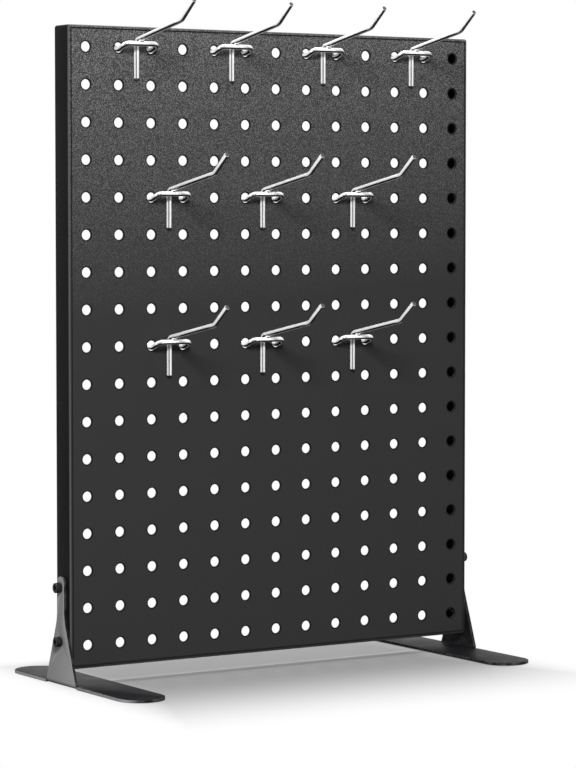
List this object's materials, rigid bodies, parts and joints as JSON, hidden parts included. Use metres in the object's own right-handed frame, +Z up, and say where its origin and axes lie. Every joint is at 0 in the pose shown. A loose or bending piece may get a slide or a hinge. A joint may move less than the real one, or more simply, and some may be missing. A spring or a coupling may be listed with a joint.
{
  "type": "pegboard display stand",
  "caption": "Free-standing perforated steel panel with folded edges on two bent steel feet, carrying two-prong wire hooks that tilt up out of their holes.",
  "frame": {"origin": "on the ground, midway between the two soles and midway between their front and rear tips", "axes": "+Z up, +X to the right of a viewer who faces the perforated side, the perforated face and the hook arms look along -Y"},
  "size_m": [0.3452, 0.175, 0.4642],
  "materials": {
    "panel_paint": "fine-textured black powder coat",
    "foot_paint": "smooth satin black powder coat",
    "screw_steel": "black oxide",
    "hook_chrome": "bright chrome plated wire"
  },
  "bodies": {
    "stand": {"pegboard_panel": "panel_paint", "left_foot": "foot_paint", "right_foot": "foot_paint", "left_upper_screw": "screw_steel", "left_lower_screw": "screw_steel", "right_upper_screw": "screw_steel", "right_lower_screw": "screw_steel", "left_upper_nut": "screw_steel", "left_lower_nut": "screw_steel", "right_upper_nut": "screw_steel", "right_lower_nut": "screw_steel"},
    "hook_top_1": {"hook_top_1_crossbar": "hook_chrome", "hook_top_1_arm": "hook_chrome"},
    "hook_top_2": {"hook_top_2_crossbar": "hook_chrome", "hook_top_2_arm": "hook_chrome"},
    "hook_top_3": {"hook_top_3_crossbar": "hook_chrome", "hook_top_3_arm": "hook_chrome"},
    "hook_top_4": {"hook_top_4_crossbar": "hook_chrome", "hook_top_4_arm": "hook_chrome"},
    "hook_middle_1": {"hook_middle_1_crossbar": "hook_chrome", "hook_middle_1_arm": "hook_chrome"},
    "hook_middle_2": {"hook_middle_2_crossbar": "hook_chrome", "hook_middle_2_arm": "hook_chrome"},
    "hook_middle_3": {"hook_middle_3_crossbar": "hook_chrome", "hook_middle_3_arm": "hook_chrome"},
    "hook_lower_1": {"hook_lower_1_crossbar": "hook_chrome", "hook_lower_1_arm": "hook_chrome"},
    "hook_lower_2": {"hook_lower_2_crossbar": "hook_chrome", "hook_lower_2_arm": "hook_chrome"},
    "hook_lower_3": {"hook_lower_3_crossbar": "hook_chrome", "hook_lower_3_arm": "hook_chrome"}
  },
  "joints": [
    {"name": "hook_top_1_tilt", "type": "hinge", "parent": "stand", "child": "hook_top_1", "pos_m": [-0.1143, -0.0019, 0.44622], "axis": [-1, 0, 0], "range_deg": [0, 64]},
    {"name": "hook_top_2_tilt", "type": "hinge", "parent": "stand", "child": "hook_top_2", "pos_m": [-0.0381, -0.0019, 0.44622], "axis": [-1, 0, 0], "range_deg": [0, 64]},
    {"name": "hook_top_3_tilt", "type": "hinge", "parent": "stand", "child": "hook_top_3", "pos_m": [0.0381, -0.0019, 0.44622], "axis": [-1, 0, 0], "range_deg": [0, 64]},
    {"name": "hook_top_4_tilt", "type": "hinge", "parent": "stand", "child": "hook_top_4", "pos_m": [0.1143, -0.0019, 0.44622], "axis": [-1, 0, 0], "range_deg": [0, 64]},
    {"name": "hook_middle_1_tilt", "type": "hinge", "parent": "stand", "child": "hook_middle_1", "pos_m": [-0.0889, -0.0019, 0.34462], "axis": [-1, 0, 0], "range_deg": [0, 64]},
    {"name": "hook_middle_2_tilt", "type": "hinge", "parent": "stand", "child": "hook_middle_2", "pos_m": [-0.0127, -0.0019, 0.34462], "axis": [-1, 0, 0], "range_deg": [0, 64]},
    {"name": "hook_middle_3_tilt", "type": "hinge", "parent": "stand", "child": "hook_middle_3", "pos_m": [0.0635, -0.0019, 0.34462], "axis": [-1, 0, 0], "range_deg": [0, 64]},
    {"name": "hook_lower_1_tilt", "type": "hinge", "parent": "stand", "child": "hook_lower_1", "pos_m": [-0.0889, -0.0019, 0.24302], "axis": [-1, 0, 0], "range_deg": [0, 64]},
    {"name": "hook_lower_2_tilt", "type": "hinge", "parent": "stand", "child": "hook_lower_2", "pos_m": [-0.0127, -0.0019, 0.24302], "axis": [-1, 0, 0], "range_deg": [0, 64]},
    {"name": "hook_lower_3_tilt", "type": "hinge", "parent": "stand", "child": "hook_lower_3", "pos_m": [0.0635, -0.0019, 0.24302], "axis": [-1, 0, 0], "range_deg": [0, 64]}
  ]
}
